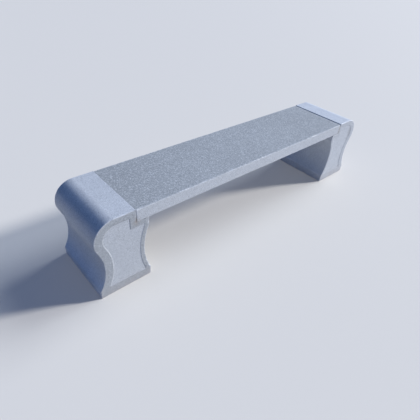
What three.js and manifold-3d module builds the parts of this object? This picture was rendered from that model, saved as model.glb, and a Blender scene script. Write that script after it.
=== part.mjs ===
// A backless granite street bench. A rectangular seat slab lies in rebates cut in the tops of two
// carved end supports. Each support is one block: its top rolls over outwards, its outer side draws in
// to a waist and flares to the foot, its inner side is hollowed, and its front and back faces carry a
// sunk panel inside a raised border. Two steel dowels and a resin bed fix the slab to each support.
// Millimetres. +X runs along the bench, +Y to the back and +Z up; the origin is on the ground, under
// the middle of the seat.

import * as THREE from "three";
import { mergeVertices } from "three/addons/utils/BufferGeometryUtils.js";
import Module from "manifold-3d";

// Overall size
const LENGTH = 2100;
const DEPTH = 400;
const HEIGHT = 450;

// Seat slab and how it sits
const SLAB_THICKNESS = 68;
const SEAT_DROP = 2; // how far the supports' tops stand above the seat
const BEARING = 68; // how far each rebate reaches in under the slab
const END_GAP_LEFT = 1; // open joint between the slab's end and the left support
const END_GAP_RIGHT = 7;
const BED_THICKNESS = 2;
const BED_SETBACK = 4; // the resin stops short of the stone's edges
const POINTING_DROP = 12; // and it stops this far below the seat where it fills the wide end joint

// End support, seen from the front
const SUPPORT_WIDTH = 285;
const ROLL_RADIUS = 107;
const WAIST_DEPTH = 37; // how far the outer side draws in behind the roll and the foot
const WAIST_HEIGHT = 182;
const HOLLOW_DEPTH = 31; // the inner side's hollow
const HOLLOW_BOTTOM = 52;
const HOLLOW_TOP = 335;

// Sunk panel on the front and back faces
const PANEL_MARGIN = 34;
const PANEL_LEDGE_MARGIN = 27; // border under the rebate
const PANEL_BASE_MARGIN = 54; // border along the foot
const PANEL_SHIFT = 10; // how much nearer to the inner side than to the outer one the panel lies
const PANEL_SINK = 1.5;

// Dowels and their holes
const DOWEL_RADIUS = 6;
const DOWEL_LENGTH = 90;
const DOWEL_SPACING = 240; // front dowel to rear dowel
const DOWEL_GROOVES = 5;
const DOWEL_GROOVE_DEPTH = 0.6;
const DOWEL_GROOVE_WIDTH = 2.4;
const DOWEL_PLAIN_END = 3; // no groove starts nearer to a dowel's end than this
const DOWEL_END_CHAMFER = 1.5;
const HOLE_RADIUS = 8;
const HOLE_SPARE = 2; // how far a hole runs past the dowel's end
const RUNNING_GAP = 0.3; // clearance between neighbouring solids that share a round wall

const ARRIS = 2; // chamfer on every outer edge of the stone

// Worked-out places
const HALF = LENGTH / 2;
const SLAB_BOTTOM = HEIGHT - SEAT_DROP - SLAB_THICKNESS;
const LEDGE_Z = SLAB_BOTTOM - BED_THICKNESS;
const SEAT_HALF = HALF - SUPPORT_WIDTH + BEARING; // middle of the bench to a support's end wall
const DOWEL_X = SEAT_HALF - BEARING / 2;
const DOWEL_MIDDLE_Z = SLAB_BOTTOM - BED_THICKNESS / 2;
const DOWEL_PLACES = { front: -DOWEL_SPACING / 2, rear: DOWEL_SPACING / 2 };
const HOLE_BOTTOM = DOWEL_MIDDLE_Z - DOWEL_LENGTH / 2 - HOLE_SPARE;
const HOLE_TOP = DOWEL_MIDDLE_Z + DOWEL_LENGTH / 2 + HOLE_SPARE;

// How finely round shapes are faceted, and how solids are made
const ARC_SEGMENTS = 20;
const ROUND_SEGMENTS = 16;
const CUTTER_SPARE = 10; // a cutter runs this far out beyond the faces that it cuts
const WELD = 1e-4; // points nearer than this are one point

const GRANITE_HONED = new THREE.MeshStandardMaterial({ color: 0xacb6c6, roughness: 0.5, metalness: 0 });
const GRANITE_HAMMERED = new THREE.MeshStandardMaterial({ color: 0x949fb2, roughness: 0.85, metalness: 0 });
const STEEL = new THREE.MeshStandardMaterial({ color: 0xa8abae, roughness: 0.35, metalness: 0.9 });
const RESIN = new THREE.MeshStandardMaterial({ color: 0x8d8a80, roughness: 0.6, metalness: 0 });

const wasm = await Module();
wasm.setup();

// A closed geometry as a manifold-3d solid.
function solid(geometry) {
  const bare = geometry.clone();
  bare.deleteAttribute("normal");
  bare.deleteAttribute("uv");
  const merged = mergeVertices(bare, WELD);
  return new wasm.Manifold(
    new wasm.Mesh({
      numProp: 3,
      vertProperties: merged.attributes.position.array,
      triVerts: new Uint32Array(merged.index.array),
    }),
  );
}

// A manifold-3d solid back as flat-shaded geometry.
function geometryOf(made) {
  const mesh = made.getMesh();
  const position = new Float32Array(mesh.numVert * 3);
  for (let i = 0; i < mesh.numVert; i++) {
    position.set(mesh.vertProperties.subarray(i * mesh.numProp, i * mesh.numProp + 3), i * 3);
  }
  const indexed = new THREE.BufferGeometry()
    .setAttribute("position", new THREE.BufferAttribute(position, 3))
    .setIndex(new THREE.BufferAttribute(mesh.triVerts, 1));
  const flat = indexed.toNonIndexed();
  flat.computeVertexNormals();
  return flat;
}

function named(name, geometry, material, parent) {
  const mesh = new THREE.Mesh(geometry, material);
  mesh.name = name;
  parent.add(mesh);
  return mesh;
}

// The arcs of a support's outline. u runs outwards from the inner side, z up from the ground. The outer
// waist is a circle that touches the roll from outside, and the inner hollow is a circle through three
// points on its side.
const roll = { u: SUPPORT_WIDTH - ROLL_RADIUS, z: HEIGHT - ROLL_RADIUS, r: ROLL_RADIUS };
const waist = (() => {
  const across = ROLL_RADIUS - WAIST_DEPTH;
  const down = roll.z - WAIST_HEIGHT;
  const r = (across ** 2 + down ** 2 - ROLL_RADIUS ** 2) / (2 * WAIST_DEPTH);
  return { u: SUPPORT_WIDTH - WAIST_DEPTH + r, z: WAIST_HEIGHT, r };
})();
const hollow = (() => {
  const half = (HOLLOW_TOP - HOLLOW_BOTTOM) / 2;
  const r = (half ** 2 + HOLLOW_DEPTH ** 2) / (2 * HOLLOW_DEPTH);
  return { u: HOLLOW_DEPTH - r, z: (HOLLOW_TOP + HOLLOW_BOTTOM) / 2, r };
})();
const rollToWaist = Math.atan2(waist.z - roll.z, waist.u - roll.u); // direction of the point they share

// The angle at which a circle, grown by `grow`, crosses height z on its left or right side.
function angleAtHeight(circle, grow, z, side) {
  const rise = Math.asin((z - circle.z) / (circle.r + grow));
  return side === "right" ? rise : Math.PI - rise;
}

// The angle at which a circle, grown by `grow`, crosses distance u on its upper or lower half.
function angleAtDistance(circle, grow, u, half) {
  const turn = Math.acos((u - circle.u) / (circle.r + grow));
  return half === "upper" ? turn : -turn;
}

// A support's outline, anticlockwise from the inner corner of the foot.
function supportShape() {
  const footAngle = angleAtDistance(waist, 0, SUPPORT_WIDTH, "lower");
  const footTop = waist.z + waist.r * Math.sin(footAngle);
  const shape = new THREE.Shape();
  shape.moveTo(0, 0);
  shape.lineTo(SUPPORT_WIDTH, 0);
  shape.lineTo(SUPPORT_WIDTH, footTop);
  shape.absarc(waist.u, waist.z, waist.r, footAngle, rollToWaist - Math.PI, true);
  shape.absarc(roll.u, roll.z, roll.r, rollToWaist, Math.PI / 2, false);
  shape.lineTo(BEARING, HEIGHT);
  shape.lineTo(BEARING, LEDGE_Z);
  shape.lineTo(0, LEDGE_Z);
  shape.lineTo(0, HOLLOW_TOP);
  shape.absarc(
    hollow.u,
    hollow.z,
    hollow.r,
    angleAtHeight(hollow, 0, HOLLOW_TOP, "right"),
    angleAtHeight(hollow, 0, HOLLOW_BOTTOM, "right"),
    true,
  );
  shape.closePath();
  return shape;
}

// The sunk panel's outline: the support's outline moved inwards by the border, and all of it but the
// corner beside the rebate moved on towards the inner side.
function panelShape() {
  const m = PANEL_MARGIN;
  const hollowU = hollow.u - PANEL_SHIFT;
  const waistU = waist.u - PANEL_SHIFT;
  const rollU = roll.u - PANEL_SHIFT;
  const shape = new THREE.Shape();
  const hollowBottom = angleAtHeight(hollow, m, PANEL_BASE_MARGIN, "right");
  const hollowTop = angleAtDistance(hollow, m, m, "upper");
  const waistBottom = angleAtHeight(waist, m, PANEL_BASE_MARGIN, "left");
  shape.moveTo(hollowU + (hollow.r + m) * Math.cos(hollowBottom), PANEL_BASE_MARGIN);
  shape.lineTo(waistU + (waist.r + m) * Math.cos(waistBottom), PANEL_BASE_MARGIN);
  shape.absarc(waistU, waist.z, waist.r + m, waistBottom, rollToWaist + Math.PI, true);
  shape.absarc(rollU, roll.z, roll.r - m, rollToWaist, Math.PI / 2, false);
  shape.lineTo(BEARING + m, HEIGHT - m);
  shape.lineTo(BEARING + m, LEDGE_Z - PANEL_LEDGE_MARGIN);
  shape.lineTo(m - PANEL_SHIFT, LEDGE_Z - PANEL_LEDGE_MARGIN);
  shape.absarc(hollowU, hollow.z, hollow.r + m, hollowTop, hollowBottom, true);
  shape.closePath();
  return shape;
}

// An outline in (u, z) extruded along Y from `front` to `back`. The shape's plane is turned upright, so
// the extrusion runs towards -Y and starts from `back`.
function standingBlock(shape, front, back, arris) {
  const geometry = new THREE.ExtrudeGeometry(shape, {
    depth: back - front - 2 * arris,
    curveSegments: ARC_SEGMENTS,
    bevelEnabled: arris > 0,
    bevelThickness: arris,
    bevelSize: arris,
    bevelOffset: -arris,
    bevelSegments: 1,
  });
  geometry.rotateX(Math.PI / 2);
  geometry.translate(0, back - arris, 0);
  return solid(geometry);
}

// A round bar along Z, from z = bottom to z = top, centred on (x, y).
function round(radius, bottom, top, x, y) {
  const geometry = new THREE.CylinderGeometry(radius, radius, top - bottom, ROUND_SEGMENTS);
  geometry.rotateX(Math.PI / 2);
  geometry.translate(x, y, (top + bottom) / 2);
  return solid(geometry);
}

// One end support in its own frame: u outwards along +X from its inner side.
function supportGeometry() {
  const back = DEPTH / 2;
  let made = standingBlock(supportShape(), -back, back, ARRIS);
  made = made.subtract(standingBlock(panelShape(), -back - CUTTER_SPARE, -back + PANEL_SINK, 0));
  made = made.subtract(standingBlock(panelShape(), back - PANEL_SINK, back + CUTTER_SPARE, 0));
  for (const y of Object.values(DOWEL_PLACES)) {
    made = made.subtract(round(HOLE_RADIUS, HOLE_BOTTOM, LEDGE_Z + CUTTER_SPARE, BEARING / 2, y));
  }
  return geometryOf(made);
}

// The same geometry mirrored across X = 0, with its faces kept pointing out.
function mirrored(geometry) {
  const copy = geometry.clone();
  copy.scale(-1, 1, 1);
  const position = copy.attributes.position;
  for (let i = 0; i < position.count; i += 3) {
    for (let axis = 0; axis < 3; axis++) {
      const second = position.getComponent(i + 1, axis);
      position.setComponent(i + 1, axis, position.getComponent(i + 2, axis));
      position.setComponent(i + 2, axis, second);
    }
  }
  copy.computeVertexNormals();
  return copy;
}

// The seat slab, with every edge chamfered and a blind hole over each dowel.
function seatSlab(parent) {
  const left = -SEAT_HALF + END_GAP_LEFT;
  const right = SEAT_HALF - END_GAP_RIGHT;
  const back = DEPTH / 2;
  const plan = new THREE.Shape();
  plan.moveTo(left + ARRIS, -back);
  plan.lineTo(right - ARRIS, -back);
  plan.lineTo(right, -back + ARRIS);
  plan.lineTo(right, back - ARRIS);
  plan.lineTo(right - ARRIS, back);
  plan.lineTo(left + ARRIS, back);
  plan.lineTo(left, back - ARRIS);
  plan.lineTo(left, -back + ARRIS);
  plan.closePath();
  const geometry = new THREE.ExtrudeGeometry(plan, {
    depth: SLAB_THICKNESS - 2 * ARRIS,
    bevelThickness: ARRIS,
    bevelSize: ARRIS,
    bevelOffset: -ARRIS,
    bevelSegments: 1,
  });
  geometry.translate(0, 0, SLAB_BOTTOM + ARRIS);
  let made = solid(geometry);
  for (const x of [-DOWEL_X, DOWEL_X]) {
    for (const y of Object.values(DOWEL_PLACES)) {
      made = made.subtract(round(HOLE_RADIUS, SLAB_BOTTOM - CUTTER_SPARE, HOLE_TOP, x, y));
    }
  }
  named("seat_slab", geometryOf(made), GRANITE_HAMMERED, parent);
}

// A steel dowel with chamfered ends and grooves that key it into the resin.
function dowelGeometry() {
  const r = DOWEL_RADIUS;
  const half = DOWEL_LENGTH / 2;
  const deep = r - DOWEL_GROOVE_DEPTH;
  const profile = [];
  const turn = (radius, height) => profile.push(new THREE.Vector2(radius, height));
  turn(0, -half);
  turn(r - DOWEL_END_CHAMFER, -half);
  turn(r, -half + DOWEL_END_CHAMFER);
  const pitch = (DOWEL_LENGTH - 2 * DOWEL_PLAIN_END) / DOWEL_GROOVES;
  for (let i = 0; i < DOWEL_GROOVES; i++) {
    const middle = -half + DOWEL_PLAIN_END + (i + 0.5) * pitch;
    turn(r, middle - DOWEL_GROOVE_WIDTH / 2);
    turn(deep, middle - DOWEL_GROOVE_WIDTH / 4);
    turn(deep, middle + DOWEL_GROOVE_WIDTH / 4);
    turn(r, middle + DOWEL_GROOVE_WIDTH / 2);
  }
  turn(r, half - DOWEL_END_CHAMFER);
  turn(r - DOWEL_END_CHAMFER, half);
  turn(0, half);
  const geometry = new THREE.LatheGeometry(profile, ROUND_SEGMENTS);
  geometry.rotateX(Math.PI / 2);
  return geometry;
}

// The resin that fills the wide joint at the slab's right end, standing on the bed. Its frame is the
// bed's, with the dowels at X = 0.
function pointing() {
  const width = END_GAP_RIGHT - 2 * RUNNING_GAP;
  const top = SLAB_BOTTOM + SLAB_THICKNESS - POINTING_DROP;
  const strip = new THREE.BoxGeometry(width, DEPTH - 2 * BED_SETBACK, top - LEDGE_Z);
  strip.translate((BEARING - END_GAP_RIGHT) / 2, 0, (top + LEDGE_Z) / 2);
  return solid(strip);
}

// The resin under one end of the slab: a thin bed on the rebate, and a sleeve that fills each dowel's
// holes above and below it.
function resinGeometry(side) {
  const bed = new THREE.BoxGeometry(BEARING - 2 * BED_SETBACK, DEPTH - 2 * BED_SETBACK, BED_THICKNESS);
  bed.translate(0, 0, DOWEL_MIDDLE_Z);
  let made = solid(bed);
  if (side === "right") {
    made = made.add(pointing());
  }
  for (const y of Object.values(DOWEL_PLACES)) {
    const bottom = HOLE_BOTTOM + RUNNING_GAP;
    const top = HOLE_TOP - RUNNING_GAP;
    const bore = round(DOWEL_RADIUS + RUNNING_GAP, bottom - CUTTER_SPARE, top + CUTTER_SPARE, 0, y);
    made = made.add(round(HOLE_RADIUS - RUNNING_GAP, bottom, top, 0, y)).subtract(bore);
  }
  return geometryOf(made);
}

const bench = new THREE.Group();
seatSlab(bench);

const support = supportGeometry();
const dowel = dowelGeometry();
for (const [side, sign] of [["left", -1], ["right", 1]]) {
  const end = new THREE.Group();
  const block = named(`${side}_support`, sign > 0 ? support : mirrored(support), GRANITE_HONED, end);
  block.position.x = sign * (HALF - SUPPORT_WIDTH);
  named(`resin_bed_${side}`, resinGeometry(side), RESIN, end).position.x = sign * DOWEL_X;
  for (const [place, y] of Object.entries(DOWEL_PLACES)) {
    named(`dowel_${side}_${place}`, dowel, STEEL, end).position.set(sign * DOWEL_X, y, DOWEL_MIDDLE_Z);
  }
  bench.add(end);
}

export default bench;
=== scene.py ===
# The looks of a backless granite bench: fine stone meshes for the seat slab and the two carved supports,
# the steel dowels and resin beds that join them, their materials, a pale floor and backdrop, lights and the
# camera. Metres. +X runs along the bench, +Y to the back and +Z up.

import functools
import itertools
import math

import bmesh
import bpy
import numpy as np
from mathutils import Matrix, Vector, kdtree
from mathutils.geometry import delaunay_2d_cdt


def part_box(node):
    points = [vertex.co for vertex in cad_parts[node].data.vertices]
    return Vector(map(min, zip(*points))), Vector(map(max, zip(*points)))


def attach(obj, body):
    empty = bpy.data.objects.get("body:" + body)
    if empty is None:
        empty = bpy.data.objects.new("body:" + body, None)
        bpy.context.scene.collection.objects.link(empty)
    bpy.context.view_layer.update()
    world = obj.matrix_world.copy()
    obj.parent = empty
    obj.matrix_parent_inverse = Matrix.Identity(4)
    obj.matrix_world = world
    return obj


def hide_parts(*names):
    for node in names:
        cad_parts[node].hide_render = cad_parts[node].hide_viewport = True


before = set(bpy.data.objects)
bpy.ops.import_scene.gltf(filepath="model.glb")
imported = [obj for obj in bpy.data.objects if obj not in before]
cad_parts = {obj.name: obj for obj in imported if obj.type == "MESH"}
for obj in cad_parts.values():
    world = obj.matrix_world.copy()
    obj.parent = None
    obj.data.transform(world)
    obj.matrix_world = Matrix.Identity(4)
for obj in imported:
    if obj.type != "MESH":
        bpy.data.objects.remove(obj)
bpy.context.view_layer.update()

# Sizes and places from the frame
SLAB_LOW, SLAB_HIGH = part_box("seat_slab")
SUPPORT_LOW, SUPPORT_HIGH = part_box("right_support")
DOWEL_LOW, DOWEL_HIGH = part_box("dowel_right_rear")
SUPPORT_INNER = SUPPORT_LOW.x  # from the bench's middle to a support's inner side
SUPPORT_WIDTH = SUPPORT_HIGH.x - SUPPORT_LOW.x
HEIGHT = SUPPORT_HIGH.z
HALF_DEPTH = SUPPORT_HIGH.y
DOWEL_RADIUS = (DOWEL_HIGH.x - DOWEL_LOW.x) / 2
DOWEL_X = (DOWEL_HIGH.x + DOWEL_LOW.x) / 2
DOWEL_Y = (DOWEL_HIGH.y + DOWEL_LOW.y) / 2
BEARING = 2 * (DOWEL_X - SUPPORT_INNER)  # length of the rebate, which has the dowels in its middle
BED_THICKNESS = 0.002
LEDGE_Z = SLAB_LOW.z - BED_THICKNESS
HOLE_RADIUS = 0.008
HOLE_SPARE = 0.002  # how much deeper the holes are than the dowels
HOLE_BOTTOM = DOWEL_LOW.z - HOLE_SPARE
HOLE_TOP = DOWEL_HIGH.z + HOLE_SPARE
GAP = 0.0003  # what stays free round the resin in a hole and in the wide joint, and round a dowel

# The carving of a support, as in the CAD part
ROLL_RADIUS = 0.107
WAIST_DEPTH = 0.037
WAIST_HEIGHT = 0.182
HOLLOW_DEPTH = 0.031
HOLLOW_BOTTOM = 0.052
HOLLOW_TOP = 0.335
PANEL_MARGIN = 0.034
PANEL_LEDGE_MARGIN = 0.027
PANEL_BASE_MARGIN = 0.054
PANEL_SHIFT = 0.010  # how far the panel is moved towards the inner side
PANEL_SINK = 0.0015

# How the stone is worked
ARRIS = 0.0022  # radius of the rubbed edges where faces meet
CORNER = 0.003  # radius of the corners within an outline
TIGHT = 0.0010  # radius of the edges inside the joints, which nobody rubs
PANEL_CORNER = 0.0045
SLOPE = 0.0036  # width of the step down to a sunk panel
SLOPE_EASE = 0.0010  # how far each edge of that step is rounded
SLOPE_STRAIGHT = 0.6  # how much of its depth goes down in a straight line; the rest goes in a curve
SLOPE_SHARPNESS = 0.0002  # the depth over which a border's looks give way to a panel's
CHIP_DEPTH = 0.0015
CHIP_REACH = 0.0042  # how far from an edge the chips reach
WEAR_AND_HIGHLIGHT_REACH = 0.0045  # how far from an edge the stone is rubbed pale, which also paints a highlight along the arrises
HAMMER_DEPTH = 0.0006
HAMMER_FADE = 0.001  # the width in which the hammering ends at a panel
HAMMER_SKIN = (0.0012, 0.0024)  # how far below the slab's top the hammering starts to fade and ends
WAVE_DEPTH = 0.0003
BORDER_HAMMERED = (0.6, 0.18)  # how strongly the left and the right support's borders are hammered

# How pale the stone is, against the left support's faces, with painted light and shade on the supports'
# ends
SUPPORT_PALENESS = 0.14  # the right support's faces
FLARE_PAINTED_LIGHT = 0.45  # painted light: how much paler the left end is at the ground, standing in for the light bounced up there
FLARE_HEIGHT = 0.22
FLARE_FADE = 0.01  # the width in which that begins, inwards from the waist
END_PAINTED_SHADE = 0.42  # painted shade: how much darker the right end is than that support's faces, where the key light falls straight on it
END_FADE = 0.05
SLAB_SLANT = 0.035  # the middle of the slab against its left end, and its right end against the middle
SLAB_CROWN = 0.08  # the slab's middle, on top of that

# Filler and dirt round the joints, with painted shade where the slab meets the supports
JOINT_DARK_REACH = 0.017  # from the slab's lower end corners
JOINT_DARK_WIDTH = 0.005  # up the slab's ends
JOINT_DARK_TOP = 0.01  # how far below the top it ends
JOINT_DARK_RIGHT = 0.15  # how much of it there is at the right, against the left

# Lumps of unevenness, as their size and the seed of their noise
SMALL_BITES = (0.016, 11)
LARGE_BITES = (0.045, 12)
RUBBING = (0.007, 13)
FINE_BLOWS = (0.0062, 21)
COARSE_BLOWS = (0.013, 22)
LONG_WAVES = (0.11, 31)
SHORT_WAVES = (0.03, 32)
RAGGED_EDGE = (0.008, 41)
RAGGED_SKIN = (0.008, 42)

# How fine the meshes are
EDGE_STEP = 0.0032
SIDE_STEP = 0.0042
FACE_STEP = 0.0037
PLAIN_STEP = 0.009
ARRIS_STEPS = 4
ROUND_SIDES = 40
SHARP_TURN = math.radians(12)  # a point of an outline that turns more than this is a corner
JITTER = 0.2  # how far the points within a face are moved at random, in steps
CLEARANCE = 0.55  # and how far they stay clear of its edges
WELD = 1e-5
CLOSEST = 1e-7


# ---------------------------------------------------------------- camera, lights, floor and backdrop

CAMERA_PLACE = Vector((-1.4918, -1.3381, 1.4646))
CAMERA_TURN = (-44.547, 52.522, 5.277)  # degrees: heading, tilt and roll
CAMERA_LENS = 31.338


def make_camera():
    data = bpy.data.cameras.new("camera")
    data.lens = CAMERA_LENS
    data.sensor_width = 36.0
    camera = bpy.data.objects.new("camera", data)
    bpy.context.collection.objects.link(camera)
    heading, tilt, roll = (math.radians(angle) for angle in CAMERA_TURN)
    turn = Matrix.Rotation(heading, 4, "Z") @ Matrix.Rotation(tilt, 4, "X") @ Matrix.Rotation(roll, 4, "Z")
    camera.matrix_world = Matrix.Translation(CAMERA_PLACE) @ turn
    bpy.context.scene.camera = camera


KEY_FROM = Vector((0.843, -0.354, 0.405))
KEY_STRENGTH = 4.4
KEY_COLOUR = (1.0, 0.98, 0.95)
KEY_SPREAD = 7  # degrees across
FILL_FROM = Vector((0.8, -0.05, 0.6))
FILL_STRENGTH = 2.55
FILL_COLOUR = (0.84, 0.91, 1.0)
FILL_SPREAD = 30
EDGE_FROM = Vector((-1.0, 0.0, 0.03))  # a low soft light on the shaded end
EDGE_STRENGTH = 0.085
EDGE_COLOUR = (1.0, 0.90, 0.80)
EDGE_SPREAD = 20
SKY_COLOUR = (0.015, 0.085, 0.27)


def make_light(name, source, strength, colour, spread):
    """A light so far away that it comes from one direction, as wide as its spread."""
    data = bpy.data.lights.new(name, "SUN")
    data.energy = strength
    data.color = colour
    data.angle = math.radians(spread)
    light = bpy.data.objects.new(name, data)
    light.rotation_euler = source.to_track_quat("Z", "Y").to_euler()
    bpy.context.collection.objects.link(light)


def make_lights():
    make_light("key", KEY_FROM, KEY_STRENGTH, KEY_COLOUR, KEY_SPREAD)
    make_light("fill", FILL_FROM, FILL_STRENGTH, FILL_COLOUR, FILL_SPREAD)
    make_light("edge", EDGE_FROM, EDGE_STRENGTH, EDGE_COLOUR, EDGE_SPREAD)
    world = bpy.data.worlds.new("studio")
    world.use_nodes = True
    world.node_tree.nodes["Background"].inputs["Color"].default_value = (*SKY_COLOUR, 1)
    bpy.context.scene.world = world
    bpy.context.scene.view_settings.view_transform = "Standard"


FLOOR_REACH = 30.0
FLOOR_COLOUR = (0.54, 0.525, 0.50)
FLOOR_GLOW = (0.088, 0.082, 0.075)  # the floor gives a little light of its own, as a light table does
FLOOR_SHINE = 0.5
BACKDROP_RADIUS = 29.0
BACKDROP_HEIGHT = 29.0
BACKDROP_GLOW = (0.62, 0.64, 0.68)
BACKDROP_SIDES = 96
BLACK = (0.0, 0.0, 0.0)


def studio_piece(name, points, faces, colour, glow, shine):
    """A surface of the studio, in a rough material that gives light of its own."""
    data = bpy.data.meshes.new(name)
    data.from_pydata(points, [], faces)
    material = bpy.data.materials.new(name)
    material.use_nodes = True
    shader = material.node_tree.nodes["Principled BSDF"]
    shader.inputs["Base Color"].default_value = (*colour, 1)
    shader.inputs["Roughness"].default_value = 0.95
    shader.inputs["Specular IOR Level"].default_value = shine
    shader.inputs["Emission Color"].default_value = (*glow, 1)
    shader.inputs["Emission Strength"].default_value = 1.0
    data.materials.append(material)
    return add_object(name, data)


def make_floor():
    corners = [(x * FLOOR_REACH, y * FLOOR_REACH, 0) for x, y in ((-1, -1), (1, -1), (1, 1), (-1, 1))]
    floor = studio_piece("floor", corners, [(0, 1, 2, 3)], FLOOR_COLOUR, FLOOR_GLOW, FLOOR_SHINE)


def make_backdrop():
    """A pale wall all round, far away, that is only there to be seen: it neither lights nor shades."""
    turns = np.linspace(0, 2 * math.pi, BACKDROP_SIDES, endpoint=False)
    ring = [(BACKDROP_RADIUS * math.cos(turn), BACKDROP_RADIUS * math.sin(turn)) for turn in turns]
    points = [(x, y, z) for z in (0, BACKDROP_HEIGHT) for x, y in ring]
    backdrop = studio_piece("backdrop", points, strips(2, BACKDROP_SIDES), BLACK, BACKDROP_GLOW, 0)
    for ray in ("diffuse", "glossy", "transmission", "shadow", "volume_scatter"):
        setattr(backdrop, f"visible_{ray}", False)


# ---------------------------------------------------------------- noise


def lattice(cells, seed):
    """A number in 0..1 for each whole-numbered cell, the same on every run, scattered by large primes."""
    x, y, z = cells.astype(np.int64).T
    mixed = (x * 73856093) ^ (y * 19349663) ^ (z * 83492791) ^ (seed * 39916801)
    mixed = (mixed ^ (mixed >> 13)) * 1274126177
    return ((mixed ^ (mixed >> 16)) & 0xFFFF) / 0xFFFF


def noise(points, size, seed):
    """Smooth noise in 0..1 at each point, in lumps about `size` across."""
    cell = np.floor(points / size)
    part = points / size - cell
    part = part * part * (3 - 2 * part)
    total = np.zeros(len(points))
    for corner in itertools.product((0, 1), repeat=3):
        share = np.prod(np.where(corner, part, 1 - part), axis=1)
        total += share * lattice(cell + corner, seed)
    return total


def ramp(values, low, high):
    """0 at low, 1 at high, smooth between and level beyond."""
    part = np.clip((values - low) / (high - low), 0, 1)
    return part * part * (3 - 2 * part)


def near(distance, reach):
    """1 at no distance, and little beyond the reach."""
    return np.exp(-((distance / reach) ** 2))


# ---------------------------------------------------------------- outlines, as (N, 2) arrays


def spaced(start, end, step):
    """Evenly spaced numbers about `step` apart, both ends included."""
    return np.linspace(start, end, max(1, round(abs(end - start) / step)) + 1)


def arc(circle, grow, start, end):
    """Points along a circle (u, z, radius) grown by `grow`, about EDGE_STEP apart."""
    radius = circle[2] + grow
    turn = spaced(start, end, EDGE_STEP / radius)
    return np.stack([circle[0] + radius * np.cos(turn), circle[1] + radius * np.sin(turn)], axis=1)


def closed(runs):
    """One closed outline from runs of points, with points added along the straight stretches between."""
    points = []
    for run, following in zip(runs, runs[1:] + runs[:1]):
        start, end = np.array(run[-1]), np.array(following[0])
        length = np.linalg.norm(end - start)
        points.extend(run)
        shares = spaced(0, length, EDGE_STEP)[1:-1] / length
        points.extend(start + (end - start) * share for share in shares)
    points = np.array(points)
    apart = np.linalg.norm(points - np.roll(points, 1, axis=0), axis=1)
    return points[apart > WELD]


def turning(outline):
    """The directions into and out of each point, and the angle between them."""
    ahead = np.roll(outline, -1, axis=0) - outline
    ahead /= np.linalg.norm(ahead, axis=1)[:, None]
    behind = np.roll(ahead, 1, axis=0)
    cross = behind[:, 0] * ahead[:, 1] - behind[:, 1] * ahead[:, 0]
    return behind, ahead, np.arctan2(cross, np.sum(behind * ahead, axis=1))


def fillet(corner, behind, turn, radius):
    """A small arc in place of one corner."""
    side = math.copysign(1, turn)
    start = corner - behind * radius * math.tan(abs(turn) / 2)
    centre = start + side * radius * np.array([-behind[1], behind[0]])
    first = math.atan2(start[1] - centre[1], start[0] - centre[0])
    sweep = first + turn * np.linspace(0, 1, ARRIS_STEPS + 1)
    return centre + radius * np.stack([np.cos(sweep), np.sin(sweep)], axis=1)


def rounded(outline, radius, tight=lambda corner: False):
    """The outline with its sharp corners turned into small arcs, and into tighter ones where told so."""
    behind, _, turn = turning(outline)
    sharp = np.abs(turn) > SHARP_TURN
    radii = [TIGHT if tight(corner) else radius for corner in outline]
    keep = ~sharp
    for i in np.flatnonzero(sharp):
        reach = radii[i] * math.tan(abs(turn[i]) / 2) + EDGE_STEP / 3
        keep &= np.linalg.norm(outline - outline[i], axis=1) > reach
    points = []
    for i, point in enumerate(outline):
        if sharp[i]:
            points.extend(fillet(point, behind[i], turn[i], radii[i]))
        elif keep[i]:
            points.append(point)
    return np.array(points)


def rectangle(low, high, radius):
    """A rectangle with rounded corners, from its lowest and highest corner."""
    corners = [(low[0], low[1]), (high[0], low[1]), (high[0], high[1]), (low[0], high[1])]
    return rounded(closed([[corner] for corner in corners]), radius)


def inset(outline, distance):
    """The outline moved inwards by a small distance, or outwards by a negative one."""
    behind, ahead, turn = turning(outline)
    inwards = np.stack([-(behind + ahead)[:, 1], (behind + ahead)[:, 0]], axis=1)
    inwards /= np.linalg.norm(inwards, axis=1)[:, None]
    return outline + inwards * (distance / np.cos(turn / 2))[:, None]


def depth_inside(points, outline):
    """How far each point lies inside a closed outline; negative outside it."""
    nearest = np.full(len(points), np.inf)
    inside = np.zeros(len(points), bool)
    for start, end in zip(outline, np.roll(outline, -1, axis=0)):
        along = end - start
        share = np.clip((points - start) @ along / (along @ along), 0, 1)
        nearest = np.minimum(nearest, np.linalg.norm(points - start - share[:, None] * along, axis=1))
        if along[1]:
            level = (points[:, 1] >= min(start[1], end[1])) & (points[:, 1] < max(start[1], end[1]))
            inside ^= level & (points[:, 0] < start[0] + (points[:, 1] - start[1]) * along[0] / along[1])
    return np.where(inside, nearest, -nearest)


# The circles of a support's outline as (u, z, radius), with u outwards from the inner side. The waist
# touches the roll from outside, and the hollow passes through three points of the inner side.


def roll_circle():
    return SUPPORT_WIDTH - ROLL_RADIUS, HEIGHT - ROLL_RADIUS, ROLL_RADIUS


def waist_circle():
    across = ROLL_RADIUS - WAIST_DEPTH
    down = HEIGHT - ROLL_RADIUS - WAIST_HEIGHT
    radius = (across**2 + down**2 - ROLL_RADIUS**2) / (2 * WAIST_DEPTH)
    return SUPPORT_WIDTH - WAIST_DEPTH + radius, WAIST_HEIGHT, radius


def hollow_circle():
    half = (HOLLOW_TOP - HOLLOW_BOTTOM) / 2
    radius = (half**2 + HOLLOW_DEPTH**2) / (2 * HOLLOW_DEPTH)
    return HOLLOW_DEPTH - radius, (HOLLOW_TOP + HOLLOW_BOTTOM) / 2, radius


def roll_to_waist():
    """The direction from the roll's centre to the point that it shares with the waist."""
    return math.atan2(waist_circle()[1] - roll_circle()[1], waist_circle()[0] - roll_circle()[0])


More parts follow.
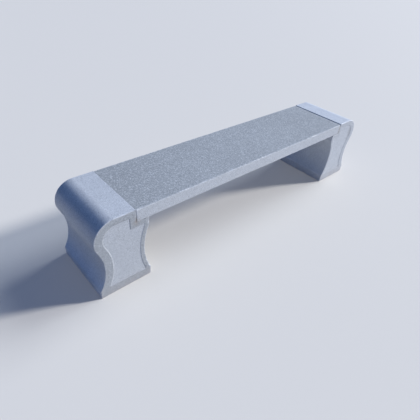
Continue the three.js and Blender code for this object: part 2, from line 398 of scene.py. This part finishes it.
def support_corners():
    """The sharp corners of a support's outline, anticlockwise from the inner corner of the foot."""
    waist_u, waist_z, waist_r = waist_circle()
    foot_top = waist_z - math.sqrt(waist_r**2 - (waist_u - SUPPORT_WIDTH) ** 2)
    return [
        (0, 0),
        (SUPPORT_WIDTH, 0),
        (SUPPORT_WIDTH, foot_top),
        (BEARING, HEIGHT),
        (BEARING, LEDGE_Z),
        (0, LEDGE_Z),
        (0, HOLLOW_TOP),
        (0, HOLLOW_BOTTOM),
    ]


def from_joint(flat):
    """How far each point of a support's face is from the two walls that the slab lies against."""
    beside = np.hypot(flat[:, 0] - BEARING, np.minimum(flat[:, 1] - LEDGE_Z, 0))
    below = np.hypot(flat[:, 1] - LEDGE_Z, np.maximum(flat[:, 0] - BEARING, 0))
    return np.minimum(beside, below)


def support_outline():
    """A support seen from the front, anticlockwise from the inner corner of the foot."""
    corners = support_corners()
    waist, hollow, meet = waist_circle(), hollow_circle(), roll_to_waist()
    flare = 2 * math.pi - math.acos((SUPPORT_WIDTH - waist[0]) / waist[2])
    bend = math.asin((HOLLOW_TOP - hollow[1]) / hollow[2])
    runs = [corners[:2], arc(waist, 0, flare, math.pi + meet), arc(roll_circle(), 0, meet, math.pi / 2)]
    runs += [[corner] for corner in corners[3:6]]
    runs.append(arc(hollow, 0, bend, -bend))
    return rounded(closed(runs), CORNER, lambda corner: abs(corner[0] - BEARING) < WELD)


def panel_outline():
    """The middle line of the step down to a sunk panel."""
    m = PANEL_MARGIN
    inner = m - PANEL_SHIFT
    circles = (waist_circle(), hollow_circle(), roll_circle())
    waist, hollow, roll = ((u - PANEL_SHIFT, z, radius) for u, z, radius in circles)
    waist_low = math.pi - math.asin((PANEL_BASE_MARGIN - waist[1]) / (waist[2] + m))
    hollow_low = math.asin((PANEL_BASE_MARGIN - hollow[1]) / (hollow[2] + m))
    hollow_high = math.acos((inner - hollow[0]) / (hollow[2] + m))
    meet = roll_to_waist()
    runs = [arc(waist, m, waist_low, math.pi + meet), arc(roll, -m, meet, math.pi / 2)]
    runs.append([(BEARING + m, HEIGHT - m)])
    runs.append([(BEARING + m, LEDGE_Z - PANEL_LEDGE_MARGIN)])
    runs.append([(inner, LEDGE_Z - PANEL_LEDGE_MARGIN)])
    runs.append(arc(hollow, m, hollow_high, hollow_low))
    return rounded(closed(runs), PANEL_CORNER)


# ---------------------------------------------------------------- meshes


def strips(rings, count):
    """The quads between each closed ring of `count` points and the next one."""
    faces = []
    for k in range(rings - 1):
        for i in range(count):
            j = (i + 1) % count
            faces.append((k * count + i, k * count + j, (k + 1) * count + j, (k + 1) * count + i))
    return faces


def fill(boundary, rings, step, seed):
    """Triangles over the inside of a closed outline. Their points stand about `step` apart and clear of the
    outline and of the rings inside it, and the triangles' edges follow both."""
    random = np.random.default_rng(seed)
    low, high = boundary.min(axis=0), boundary.max(axis=0)
    rows = spaced(low[1], high[1], step * math.sqrt(3) / 2)[1:-1]
    grid = []
    for k, v in enumerate(rows):
        grid += [(u, v) for u in np.arange(low[0] + step * (k % 2) / 2, high[0], step)]
    grid = np.array(grid) + random.uniform(-JITTER, JITTER, (len(grid), 2)) * step
    loops = [boundary, *rings]
    fixed = np.concatenate(loops)
    tree = kdtree.KDTree(len(fixed))
    for i, (u, v) in enumerate(fixed):
        tree.insert((u, v, 0), i)
    tree.balance()
    clear = [tree.find((u, v, 0))[2] > step * CLEARANCE for u, v in grid]
    edges = []
    first = 0
    for loop in loops:
        edges += [(first + i, first + (i + 1) % len(loop)) for i in range(len(loop))]
        first += len(loop)
    points = [Vector(point) for point in np.concatenate([fixed, grid[clear]])]
    made = delaunay_2d_cdt(points, edges, [], 1, CLOSEST)
    return np.array([tuple(point) for point in made[0]]), np.array(made[2])


def arris_rings(outline, radius, level, inwards):
    """The rings that round a block's edge over at one end, from its side to its end face. radius holds one
    number for each point of the outline."""
    rings = []
    for turn in np.linspace(0, math.pi / 2, ARRIS_STEPS + 1):
        rings.append(np.c_[inset(outline, radius * (1 - math.cos(turn))),
                           level + inwards * radius * (1 - math.sin(turn))])
    return rings


def easing_arris(distance):
    """The radius of a rubbed edge at that distance from a joint, where it is tight."""
    least = 0.8 * TIGHT
    return least + (ARRIS - least) * ramp(distance, TIGHT, 3 * CORNER)


def block(outline, start, end, side_step, caps, radius):
    """A closed block: the outline swept from start to end, with rubbed edges and filled ends. caps holds,
    for each end, its step, its rings and a function for how deep each of its points is sunk. Returns
    points (outline, outline, sweep) and faces."""
    count = len(outline)
    loops = arris_rings(outline, radius, start, 1)[::-1]
    for t in spaced(start + ARRIS, end - ARRIS, side_step)[1:-1]:
        loops.append(np.c_[outline, np.full(count, t)])
    loops += arris_rings(outline, radius, end, -1)
    faces = strips(len(loops), count)
    parts = loops
    total = count * len(loops)
    boundary = inset(outline, radius)
    for level, inwards, (step, rings, sink) in zip((start, end), (1, -1), caps):
        flat, triangles = fill(boundary, rings, step, seed=len(rings) + 1)
        parts.append(np.c_[flat, level + inwards * sink(flat)])
        faces += [tuple(triangle) for triangle in triangles + total]
        total += len(flat)
    return np.concatenate(parts), faces


def mesh_from(name, points, faces):
    """A welded mesh whose faces point out."""
    data = bpy.data.meshes.new(name)
    data.from_pydata(points.tolist(), [], [tuple(int(i) for i in face) for face in faces])
    shape = bmesh.new()
    shape.from_mesh(data)
    bmesh.ops.remove_doubles(shape, verts=shape.verts, dist=WELD)
    loose = [vert for vert in shape.verts if not vert.link_faces]
    bmesh.ops.delete(shape, geom=loose, context="VERTS")
    bmesh.ops.recalc_face_normals(shape, faces=shape.faces)
    shape.to_mesh(data)
    shape.free()
    return data


def points_of(data):
    points = np.empty(len(data.vertices) * 3)
    data.vertices.foreach_get("co", points)
    return points.reshape(-1, 3)


def normals_of(data):
    normals = np.empty(len(data.vertices) * 3)
    data.vertex_normals.foreach_get("vector", normals)
    return normals.reshape(-1, 3)


def push_in(data, amount):
    """Moves each point against its normal."""
    moved = points_of(data) - normals_of(data) * amount[:, None]
    data.vertices.foreach_set("co", moved.ravel())
    data.update()


def lathe(name, profile, sides):
    """A round solid about Z from (radius, height) pairs that start and end on the axis."""
    inner = profile[1:-1]
    turns = np.linspace(0, 2 * math.pi, sides, endpoint=False)
    points = [(r * math.cos(w), r * math.sin(w), z) for r, z in inner for w in turns]
    points += [(0, 0, profile[0][1]), (0, 0, profile[-1][1])]
    bottom, top = len(points) - 2, len(points) - 1
    last = (len(inner) - 1) * sides
    faces = strips(len(inner), sides)
    for i in range(sides):
        j = (i + 1) % sides
        faces.append((bottom, j, i))
        faces.append((top, last + i, last + j))
    return mesh_from(name, np.array(points), faces)


def placed(data, x, y):
    """The mesh moved to (x, y)."""
    data.transform(Matrix.Translation((x, y, 0)))
    return data


def add_object(name, data):
    piece = bpy.data.objects.new(name, data)
    bpy.context.collection.objects.link(piece)
    return piece


def combined(name, data, tools):
    """A piece of that mesh, with each (mesh, "UNION" or "DIFFERENCE") of the tools joined on or cut out."""
    piece = add_object(name, data)
    helpers = [add_object("tool", tool) for tool, _ in tools]
    for helper, (_, way) in zip(helpers, tools):
        step = piece.modifiers.new("step", "BOOLEAN")
        step.operation = way
        step.solver = "MANIFOLD"
        step.object = helper
    made = bpy.data.meshes.new_from_object(piece.evaluated_get(bpy.context.evaluated_depsgraph_get()))
    piece.modifiers.clear()
    piece.data = made
    for helper in helpers:
        bpy.data.objects.remove(helper)
    return piece


def bar(radius, low, high, x, y, turned=0.0):
    """A plain round bar from z = low to z = high, used to cut holes and to build sleeves, and turned about
    its axis so that its sides' edges don't line up with another bar's."""
    data = lathe("bar", [(0, low), (radius, low), (radius, high), (0, high)], ROUND_SIDES)
    data.transform(Matrix.Rotation(turned, 4, "Z"))
    return placed(data, x, y)


def store(data, name, values):
    """Keeps a number per point for the materials to read."""
    attribute = data.attributes.new(name, "FLOAT", "POINT")
    attribute.data.foreach_set("value", np.asarray(values, dtype=np.float32))


# ---------------------------------------------------------------- material nodes


def node(tree, kind, settings=None, **inputs):
    """A shader node. Each input is a number, a colour or another node's output."""
    made = tree.nodes.new(kind)
    for name, value in (settings or {}).items():
        setattr(made, name, value)
    for name, value in inputs.items():
        plug(tree, made.inputs[name], value)
    return made


def plug(tree, socket, value):
    if isinstance(value, bpy.types.NodeSocket):
        tree.links.new(value, socket)
    elif isinstance(value, tuple) and len(value) == 3 and socket.type == "RGBA":
        socket.default_value = (*value, 1)
    else:
        socket.default_value = value


def mix(tree, factor, first, second, blend="MIX"):
    """Two colours mixed by a factor."""
    made = tree.nodes.new("ShaderNodeMix")
    made.data_type = "RGBA"
    made.blend_type = blend
    plug(tree, made.inputs[0], factor)
    plug(tree, made.inputs[6], first)
    plug(tree, made.inputs[7], second)
    return made.outputs[2]


def reckon(tree, way, first, second=0.0):
    """One sum on two numbers."""
    made = tree.nodes.new("ShaderNodeMath")
    made.operation = way
    plug(tree, made.inputs[0], first)
    plug(tree, made.inputs[1], second)
    return made.outputs[0]


def scaled(tree, value, low, high, to_low, to_high):
    """A number carried from one range to another, and kept inside the second."""
    made = node(tree, "ShaderNodeMapRange", {"clamp": True}, Value=value)
    for name, bound in (("From Min", low), ("From Max", high), ("To Min", to_low), ("To Max", to_high)):
        made.inputs[name].default_value = bound
    return made.outputs["Result"]


def mottle(tree, place, size, detail=2.0):
    """Noise in lumps about `size` metres across."""
    made = node(tree, "ShaderNodeTexNoise", Vector=place, Scale=1 / size, Detail=detail)
    return made.outputs["Fac"]


def patches(tree, place, kind):
    """Patches of one of the kinds that are listed with the materials."""
    size, detail, noise_range, values = kind
    return scaled(tree, mottle(tree, place, size, detail), *noise_range, *values)


def cells(tree, place, size, result):
    """Cells about `size` metres across: their random "Color" or the "Distance" from their middles."""
    return node(tree, "ShaderNodeTexVoronoi", Vector=place, Scale=1 / size).outputs[result]


def banded(tree, value, stops):
    """A colour picked by a number: each (from, colour) holds until the next."""
    made = node(tree, "ShaderNodeValToRGB", Fac=value)
    made.color_ramp.interpolation = "CONSTANT"
    while len(made.color_ramp.elements) < len(stops):
        made.color_ramp.elements.new(0.5)
    for element, (start, colour) in zip(made.color_ramp.elements, stops):
        element.position = start
        element.color = (*colour, 1)
    return made.outputs["Color"]


def stored(tree, name):
    """A number that the mesh keeps for each of its points."""
    return node(tree, "ShaderNodeAttribute", {"attribute_name": name}).outputs["Fac"]


def bump(tree, height, depth, under=None):
    """Relief of that depth in metres."""
    made = node(tree, "ShaderNodeBump", Height=height, Distance=depth)
    if under is not None:
        plug(tree, made.inputs["Normal"], under)
    return made.outputs["Normal"]


def new_material(name):
    """An empty material: (material, node tree, shader, place in metres)."""
    material = bpy.data.materials.new(name)
    material.use_nodes = True
    tree = material.node_tree
    place = tree.nodes.new("ShaderNodeTexCoord").outputs["Object"]
    return material, tree, tree.nodes["Principled BSDF"], place


# ---------------------------------------------------------------- materials

CRYSTAL = 0.0014  # metres across
CRYSTAL_BEND = 0.0009  # how far the crystals' outlines wander, and in what lumps
BEND_SIZE = 0.0012
MINERALS = (
    (0.00, (0.180, 0.195, 0.225)),  # biotite
    (0.06, (0.370, 0.395, 0.430)),  # quartz
    (0.40, (0.465, 0.490, 0.530)),  # feldspar
    (0.86, (0.560, 0.585, 0.615)),  # pale feldspar
)
HAMMERED_TONE = (0.57, 0.58, 0.575)
PALE_STONE = (0.66, 0.69, 0.74)
# painted shade for the hammer's pits
PAINTED_PIT_SHADE = (0.16, 0.175, 0.20)
# filler, dirt and painted shade round the joints
DIRT_AND_SHADE = (0.27, 0.235, 0.205)
DUST = (0.40, 0.37, 0.375)
DUST_HEIGHT = 0.075
DUST_STRENGTH = 0.55

# Patches, as their size, how finely their edges break up, the range of the noise that counts, and the
# numbers that its two ends stand for
CLUMPS = (0.010, 2.0, (0.3, 0.7), (0.95, 1.05))  # of crystals
HANDS = (0.05, 2.0, (0.3, 0.7), (0.97, 1.03))  # a hand across
DRIFTS = (0.4, 2.0, (0.3, 0.7), (0.96, 1.04))  # along a block
FLECKS = (0.0075, 1.0, (0.52, 0.70), (0.0, 0.36))  # pale, where the hammer struck
PIT_SHADE_SPOTS = (0.009, 1.0, (0.30, 0.44), (0.24, 0.0))  # dark: painted shade in the pits between its blows
RUBBED = (0.03, 2.0, (0.35, 0.65), (0.1, 0.5))  # on the edges: wear, and a painted highlight along them
SPOTS = (0.009, 2.0, (0.46, 0.62), (0.35, 0.85))  # of dirt and painted shade round the joints
SPLASHES = (0.04, 4.0, (0.3, 0.6), (0.2, 1.0))  # of dust
SHEEN = (0.02, 3.0, (0.3, 0.7), (0.40, 0.54))  # roughness where the stone is honed
STAINS = (0.02, 2.0, (0.4, 0.6), (0.0, 0.5))  # in the resin

HAMMERED_ROUGHNESS = 0.9
GRAIN_SIZE = 0.0011
GRAIN_DEPTH = 0.00006
BLOW_SIZE = 0.0034
PECK_SIZE = 0.0042  # from one point of the hammer's head to the next
BLOW_DEPTH = 0.00045


@functools.cache
def granite(name):
    """Fine grey granite, honed or bush-hammered as the mesh says, with worn edges that are partly a painted
    highlight, painted shade in the hammer's pits, filler, dirt and painted shade round the joints, painted
    light and shade on the supports' ends, and dust.
    """
    material, tree, shader, place = new_material(name)
    fields = ("hammered", "wear_and_highlight", "dirt_and_shade", "paleness")
    hammered, wear_and_highlight, dirt_and_shade, paleness = (stored(tree, field) for field in fields)
    bend = node(tree, "ShaderNodeTexNoise", Vector=place, Scale=1 / BEND_SIZE, Detail=1.0).outputs["Color"]
    bent = node(tree, "ShaderNodeVectorMath", {"operation": "MULTIPLY_ADD"})
    plug(tree, bent.inputs[0], bend)
    bent.inputs[1].default_value = (CRYSTAL_BEND,) * 3
    plug(tree, bent.inputs[2], place)
    pick = node(tree, "ShaderNodeSeparateColor", Color=cells(tree, bent.outputs[0], CRYSTAL, "Color"))
    colour = banded(tree, pick.outputs["Red"], MINERALS)
    # paleness holds the stone's own tone, and painted light on the left support's end and painted shade on
    # the right one's
    tone = paleness
    for kind in (CLUMPS, HANDS, DRIFTS):
        tone = reckon(tree, "MULTIPLY", tone, patches(tree, place, kind))
    grey = node(tree, "ShaderNodeCombineColor", Red=tone, Green=tone, Blue=tone).outputs["Color"]
    colour = mix(tree, 1.0, colour, grey, "MULTIPLY")
    # the hammer bruises the stone: darker all over, with pale flecks, and darker spots that paint the shade
    # in its pits
    colour = mix(tree, hammered, colour, mix(tree, 1.0, colour, HAMMERED_TONE, "MULTIPLY"))
    for kind, shade in ((FLECKS, PALE_STONE), (PIT_SHADE_SPOTS, PAINTED_PIT_SHADE)):
        amount = reckon(tree, "MULTIPLY", patches(tree, place, kind), hammered)
        colour = mix(tree, amount, colour, shade)
    # edges rubbed pale, partly as a painted highlight on the arrises, then filler, dirt and painted shade
    # round the joints
    for amount, kind, shade in ((wear_and_highlight, RUBBED, PALE_STONE), (dirt_and_shade, SPOTS, DIRT_AND_SHADE)):
        amount = reckon(tree, "MULTIPLY", amount, patches(tree, place, kind))
        colour = mix(tree, amount, colour, shade)
    # dust splashed up from the ground
    height = node(tree, "ShaderNodeSeparateXYZ", Vector=place).outputs["Z"]
    splash = scaled(tree, height, 0.0, DUST_HEIGHT, DUST_STRENGTH, 0.0)
    splash = reckon(tree, "MULTIPLY", splash, patches(tree, place, SPLASHES))
    plug(tree, shader.inputs["Base Color"], mix(tree, splash, colour, DUST))
    # gloss: the hammered and the dusty parts are dull
    dull = reckon(tree, "MAXIMUM", reckon(tree, "MULTIPLY", hammered, HAMMERED_ROUGHNESS), splash)
    plug(tree, shader.inputs["Roughness"], reckon(tree, "MAXIMUM", patches(tree, place, SHEEN), dull))
    # relief: crystal pits everywhere, hammer blows only where it was hammered
    grain = bump(tree, mottle(tree, place, GRAIN_SIZE), GRAIN_DEPTH)
    blows = reckon(tree, "ADD", mottle(tree, place, BLOW_SIZE), cells(tree, place, PECK_SIZE, "Distance"))
    relief = bump(tree, reckon(tree, "MULTIPLY", blows, hammered), BLOW_DEPTH, grain)
    plug(tree, shader.inputs["Normal"], relief)
    return material


STEEL_DARK = (0.48, 0.49, 0.50)
STEEL_PALE = (0.66, 0.67, 0.68)
STEEL_ROUGHNESS = (0.24, 0.42)
RING_SIZE = 0.0004
RING_DEPTH = 0.00003


@functools.cache
def steel():
    """Drawn stainless bar, with fine rings round it."""
    material, tree, shader, place = new_material("drawn_steel")
    height = node(tree, "ShaderNodeSeparateXYZ", Vector=place).outputs["Z"]
    along = node(tree, "ShaderNodeCombineXYZ", Z=height).outputs[0]
    rings = mottle(tree, along, RING_SIZE, 3.0)
    plug(tree, shader.inputs["Base Color"], mix(tree, rings, STEEL_DARK, STEEL_PALE))
    shader.inputs["Metallic"].default_value = 1.0
    plug(tree, shader.inputs["Roughness"], scaled(tree, rings, 0.3, 0.7, *STEEL_ROUGHNESS))
    plug(tree, shader.inputs["Normal"], bump(tree, rings, RING_DEPTH))
    return material


RESIN_DARK = (0.44, 0.43, 0.41)
RESIN_PALE = (0.58, 0.57, 0.55)
RESIN_STAIN = (0.34, 0.31, 0.28)
RESIN_ROUGHNESS = (0.55, 0.8)
SAND_SIZE = 0.0009
SAND_DEPTH = 0.00015


@functools.cache
def resin():
    """Stone-coloured setting resin with sand in it."""
    material, tree, shader, place = new_material("sanded_resin")
    pick = node(tree, "ShaderNodeSeparateColor", Color=cells(tree, place, SAND_SIZE, "Color"))
    sand = pick.outputs["Red"]
    colour = mix(tree, sand, RESIN_DARK, RESIN_PALE)
    colour = mix(tree, patches(tree, place, STAINS), colour, RESIN_STAIN)
    plug(tree, shader.inputs["Base Color"], colour)
    plug(tree, shader.inputs["Roughness"], scaled(tree, sand, 0.0, 1.0, *RESIN_ROUGHNESS))
    plug(tree, shader.inputs["Normal"], bump(tree, sand, SAND_DEPTH))
    return material


# ---------------------------------------------------------------- stone


def chips(points, edge):
    """How far each point is broken away: bites here and there along the edges, and rubbing all along them.
    edge is the distance to one."""
    small = ramp(noise(points, *SMALL_BITES), 0.62, 0.92)
    large = ramp(noise(points, *LARGE_BITES), 0.72, 0.95)
    return CHIP_DEPTH * (small + 0.7 * large + 0.16 * noise(points, *RUBBING)) * near(edge, CHIP_REACH)


def hammer(points, hammered):
    """How far each point is knocked back by the bush hammer."""
    blows = 0.62 * noise(points, *FINE_BLOWS) + 0.38 * noise(points, *COARSE_BLOWS)
    return HAMMER_DEPTH * blows * hammered


def wave(points):
    """The slight unevenness of a face that was rubbed smooth by hand."""
    return WAVE_DEPTH * (0.7 * noise(points, *LONG_WAVES) + 0.3 * noise(points, *SHORT_WAVES))


def support_fields(points):
    """For points of a support: how hammered each is, on part of the panel's step partly as painted shade,
    its distance from the nearest edge that can be rubbed, and how much dirt and painted shade it holds."""
    flat = np.c_[np.abs(points[:, 0]) - SUPPORT_INNER, points[:, 2]]
    from_face = HALF_DEPTH - np.abs(points[:, 1])
    in_panel = depth_inside(flat, panel_outline())
    on_face = 1 - ramp(from_face, PANEL_SINK - SLOPE_SHARPNESS, PANEL_SINK)
    strength = np.where(points[:, 0] < 0, *BORDER_HAMMERED)
    # where the outline lies outward of the rebate, the hammering, with its darker tone, also covers the
    # step down to the panel: partly painted shade that dims the highlight on that step
    tooled_and_shaded_to = np.where(flat[:, 0] < BEARING, -SLOPE / 2, SLOPE / 2)
    hammered = strength * on_face * (1 - ramp(in_panel, tooled_and_shaded_to - HAMMER_FADE, tooled_and_shaded_to))
    edge = np.hypot(np.maximum(depth_inside(flat, support_outline()), 0), from_face)
    for corner in support_corners():
        edge = np.minimum(edge, np.linalg.norm(flat - corner, axis=1))
    # the edges inside the joint count as far off
    edge += 1 - ramp(from_joint(flat), CORNER, 3 * CORNER)
    return hammered, edge, joint_dirt_and_shade(points)


def support_paleness(points):
    """How pale a support's stone is. The ends carry painted light and shade: the left one is painted paler
    towards the ground, for the bounce light there, and the right one, in the key light, painted darker."""
    out = np.abs(points[:, 0]) - SUPPORT_INNER
    waist = SUPPORT_WIDTH - WAIST_DEPTH
    off_face = ramp(HALF_DEPTH - np.abs(points[:, 1]), ARRIS / 2, ARRIS)
    left = FLARE_PAINTED_LIGHT * ramp(out, waist - FLARE_FADE, waist) * (1 - ramp(points[:, 2], 0, FLARE_HEIGHT))
    right = SUPPORT_PALENESS - END_PAINTED_SHADE * ramp(out, waist - END_FADE, waist)
    return 1 + np.where(points[:, 0] < 0, left * off_face, np.where(off_face > 0, right, SUPPORT_PALENESS))


def slab_fields(points):
    """The same for points of the seat slab, whose top alone is hammered."""
    middle = (np.array(SLAB_LOW) + np.array(SLAB_HIGH)) / 2
    half = (np.array(SLAB_HIGH) - np.array(SLAB_LOW)) / 2
    from_end, from_front, from_top = (half - np.abs(points - middle)).T
    hammered = 1 - ramp(SLAB_HIGH.z - points[:, 2], *HAMMER_SKIN)
    return hammered, np.hypot(from_front, np.minimum(from_end, from_top)), joint_dirt_and_shade(points)


def joint_dirt_and_shade(points):
    """Filler and dirt on the faces round the slab's lower end corners, with painted shade there, most of it
    at the left.
    """
    out = np.abs(points[:, 0]) - SUPPORT_INNER
    round_corner = near(np.hypot(out - BEARING, points[:, 2] - LEDGE_Z), JOINT_DARK_REACH)
    fading = 1 - ramp(points[:, 2], LEDGE_Z, HEIGHT - JOINT_DARK_TOP)
    up_the_end = near(out - BEARING, JOINT_DARK_WIDTH) * fading
    amount = np.where(points[:, 0] < 0, 1.0, JOINT_DARK_RIGHT)
    return amount * np.clip(round_corner + up_the_end * (points[:, 2] > LEDGE_Z), 0, 1)


def finish_stone(piece, fields, paleness, slot, stands_for):
    """Stores what the granite's material reads, and hands the piece to the frame."""
    data = piece.data
    points = points_of(data)
    hammered, edge, dirt_and_shade = fields(points)
    store(data, "hammered", hammered)
    # pale edges, partly a painted highlight, and dirt with painted shade round the joints
    store(data, "wear_and_highlight", near(edge, WEAR_AND_HIGHLIGHT_REACH))
    store(data, "dirt_and_shade", dirt_and_shade)
    store(data, "paleness", paleness(points))
    data.shade_smooth()
    data.materials.clear()
    data.materials.append(granite(f"{slot}_stone"))
    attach(piece, "root")
    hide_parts(stands_for)


def work_stone(data, fields):
    """Works the faces of a fresh block: hammered, rubbed and chipped."""
    points = points_of(data)
    hammered, edge, _ = fields(points)
    push_in(data, hammer(points, hammered) + wave(points) + chips(points, edge))


def make_support(name, side):
    outline = support_outline()
    panel = panel_outline()
    half = SLOPE / 2
    rings = [inset(panel, way * reach) for way in (-1, 1) for reach in (half + SLOPE_EASE, half, half / 2)]
    rings.append(panel)

    def sink(flat):
        depth = depth_inside(flat, panel)
        straight = np.clip((depth + half) / SLOPE, 0, 1)
        eased = ramp(depth, -half - SLOPE_EASE, half + SLOPE_EASE)
        return PANEL_SINK * (SLOPE_STRAIGHT * straight + (1 - SLOPE_STRAIGHT) * eased)

    cap = (FACE_STEP, rings, sink)
    radius = easing_arris(from_joint(outline))
    shaped, faces = block(outline, -HALF_DEPTH, HALF_DEPTH, SIDE_STEP, (cap, cap), radius)
    points = np.c_[side * (SUPPORT_INNER + shaped[:, 0]), shaped[:, 2], shaped[:, 1]]
    data = mesh_from(name, points, faces)
    work_stone(data, support_fields)
    places = [(side * DOWEL_X, y) for y in (-DOWEL_Y, DOWEL_Y)]
    holes = [(bar(HOLE_RADIUS, HOLE_BOTTOM, LEDGE_Z + HOLE_RADIUS, x, y), "DIFFERENCE") for x, y in places]
    piece = combined(f"{name}_stone", data, holes)
    finish_stone(piece, support_fields, support_paleness, "granite_honed", name)


def level(flat):
    """No point of a plain face is sunk."""
    return np.zeros(len(flat))


def slab_paleness(points):
    """The slab's stone is palest in the middle, and paler at its right end than at its left one."""
    along = points[:, 0] / SLAB_HIGH.x
    return 1 + SLAB_SLANT * (along + 1) + SLAB_CROWN * (1 - along**2)


def make_slab():
    outline = rectangle(SLAB_LOW, SLAB_HIGH, CORNER)
    caps = ((PLAIN_STEP, [], level), (FACE_STEP, [], level))
    from_end = np.minimum(outline[:, 0] - SLAB_LOW.x, SLAB_HIGH.x - outline[:, 0])
    radius = easing_arris(from_end)
    points, faces = block(outline, SLAB_LOW.z, SLAB_HIGH.z, SIDE_STEP, caps, radius)
    data = mesh_from("seat_slab", points, faces)
    work_stone(data, slab_fields)
    places = itertools.product((-DOWEL_X, DOWEL_X), (-DOWEL_Y, DOWEL_Y))
    holes = [(bar(HOLE_RADIUS, SLAB_LOW.z - HOLE_RADIUS, HOLE_TOP, x, y), "DIFFERENCE") for x, y in places]
    piece = combined("seat_slab_stone", data, holes)
    finish_stone(piece, slab_fields, slab_paleness, "granite_hammered", "seat_slab")


# ---------------------------------------------------------------- dowels and resin

DOWEL_GROOVES = 5
GROOVE_DEPTH = 0.0006
GROOVE_HALF = 0.0012
GROOVE_STEPS = 8
DOWEL_CHAMFER = 0.0015
DOWEL_PLAIN_END = 0.003
BED_SETBACK = 0.0012  # the least that the resin stays behind the stone's faces
BED_RAGGED = 0.0034  # and how much more it does in places
BED_WAIST = 0.0005  # how far its edge draws in between the stones
POINTING_DROP = 0.012  # how far below the seat it stops in the wide end joint
POINTING_SETBACK = 0.0003  # how far it stays behind the front face there
POINTING_RAGGED = 0.0004  # and how uneven its skin is
POINTING_ROUND = 0.0005  # radius of its edges there


def dowel_profile():
    """(radius, height) from the bottom's middle to the top's, with rolled grooves on the way."""
    low, high = DOWEL_LOW.z, DOWEL_HIGH.z
    pitch = (high - low - 2 * DOWEL_PLAIN_END) / DOWEL_GROOVES
    profile = [(0, low), (DOWEL_RADIUS - DOWEL_CHAMFER, low), (DOWEL_RADIUS, low + DOWEL_CHAMFER)]
    for k in range(DOWEL_GROOVES):
        middle = low + DOWEL_PLAIN_END + (k + 0.5) * pitch
        for turn in np.linspace(-math.pi, math.pi, GROOVE_STEPS + 1):
            into = GROOVE_DEPTH * (1 + math.cos(turn)) / 2
            profile.append((DOWEL_RADIUS - into, middle + GROOVE_HALF * turn / math.pi))
    return profile + [(DOWEL_RADIUS, high - DOWEL_CHAMFER), (DOWEL_RADIUS - DOWEL_CHAMFER, high), (0, high)]


def make_dowel(name, x, y):
    data = placed(lathe(name, dowel_profile(), ROUND_SIDES), x, y)
    data.shade_smooth()
    data.materials.append(steel())
    piece = add_object(f"{name}_bar", data)
    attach(piece, "root")
    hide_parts(name)


def bed_outline(side):
    """The resin's ragged edge on a rebate, seen from above."""
    most = BED_SETBACK + BED_RAGGED
    x_low, x_high = sorted((side * (SUPPORT_INNER + most), side * (SUPPORT_INNER + BEARING - most)))
    y = HALF_DEPTH - most
    outline = rectangle((x_low, -y), (x_high, y), CORNER)
    ragged = noise(np.c_[outline, np.zeros(len(outline))], *RAGGED_EDGE)
    return inset(outline, -BED_RAGGED * ragged)


def bed_mesh(side):
    """The thin layer of resin between the slab and a support's rebate."""
    outline = bed_outline(side)
    count = len(outline)
    flat, triangles = fill(outline, [], PLAIN_STEP, seed=5)
    low, high = LEDGE_Z, SLAB_LOW.z
    loops = [(outline, low), (inset(outline, BED_WAIST), (low + high) / 2), (outline, high)]
    parts = [np.c_[loop, np.full(count, z)] for loop, z in loops]
    parts += [np.c_[flat, np.full(len(flat), z)] for z in (low, high)]
    faces = strips(len(loops), count)
    for first in (len(loops) * count, len(loops) * count + len(flat)):
        faces += [tuple(triangle) for triangle in triangles + first]
    return mesh_from("bed", np.concatenate(parts), faces)


def pointing_mesh():
    """The resin that fills the wide joint at the slab's right end, with an uneven skin."""
    low, high = SLAB_HIGH.x + GAP, SUPPORT_INNER + BEARING - GAP
    y = HALF_DEPTH - POINTING_SETBACK
    outline = rectangle((low, -y), (high, y), POINTING_ROUND)
    radius = np.full(len(outline), POINTING_ROUND)
    caps = ((EDGE_STEP, [], level), (EDGE_STEP, [], level))
    points, faces = block(outline, LEDGE_Z + GAP, SLAB_HIGH.z - POINTING_DROP, EDGE_STEP, caps, radius)
    data = mesh_from("pointing", points, faces)
    uneven = np.abs(normals_of(data)[:, 0]) < 0.5  # not on the sides, which face the stone
    push_in(data, POINTING_RAGGED * noise(points_of(data), *RAGGED_SKIN) * uneven)
    return data


def make_resin(name, side):
    """A bed with a sleeve round each dowel, and at the right the filling of the end joint."""
    tools = [(pointing_mesh(), "UNION")] if side > 0 else []
    for y in (-DOWEL_Y, DOWEL_Y):
        x = side * DOWEL_X
        sleeve = bar(HOLE_RADIUS - GAP, HOLE_BOTTOM + GAP, HOLE_TOP - GAP, x, y)
        low, high = DOWEL_LOW.z - HOLE_RADIUS, DOWEL_HIGH.z + HOLE_RADIUS  # well past the sleeve's ends
        bore = bar(DOWEL_RADIUS + GAP, low, high, x, y, math.pi / ROUND_SIDES)
        tools += [(sleeve, "UNION"), (bore, "DIFFERENCE")]
    piece = combined(f"{name}_cast", bed_mesh(side), tools)
    piece.data.materials.clear()
    piece.data.materials.append(resin())
    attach(piece, "root")
    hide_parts(name)


# ---------------------------------------------------------------- the bench

make_camera()
make_lights()
make_floor()
make_backdrop()
make_slab()
for side, way in (("left", -1), ("right", 1)):
    make_support(f"{side}_support", way)
    make_resin(f"resin_bed_{side}", way)
    for place, y in (("front", -DOWEL_Y), ("rear", DOWEL_Y)):
        make_dowel(f"dowel_{side}_{place}", way * DOWEL_X, y)
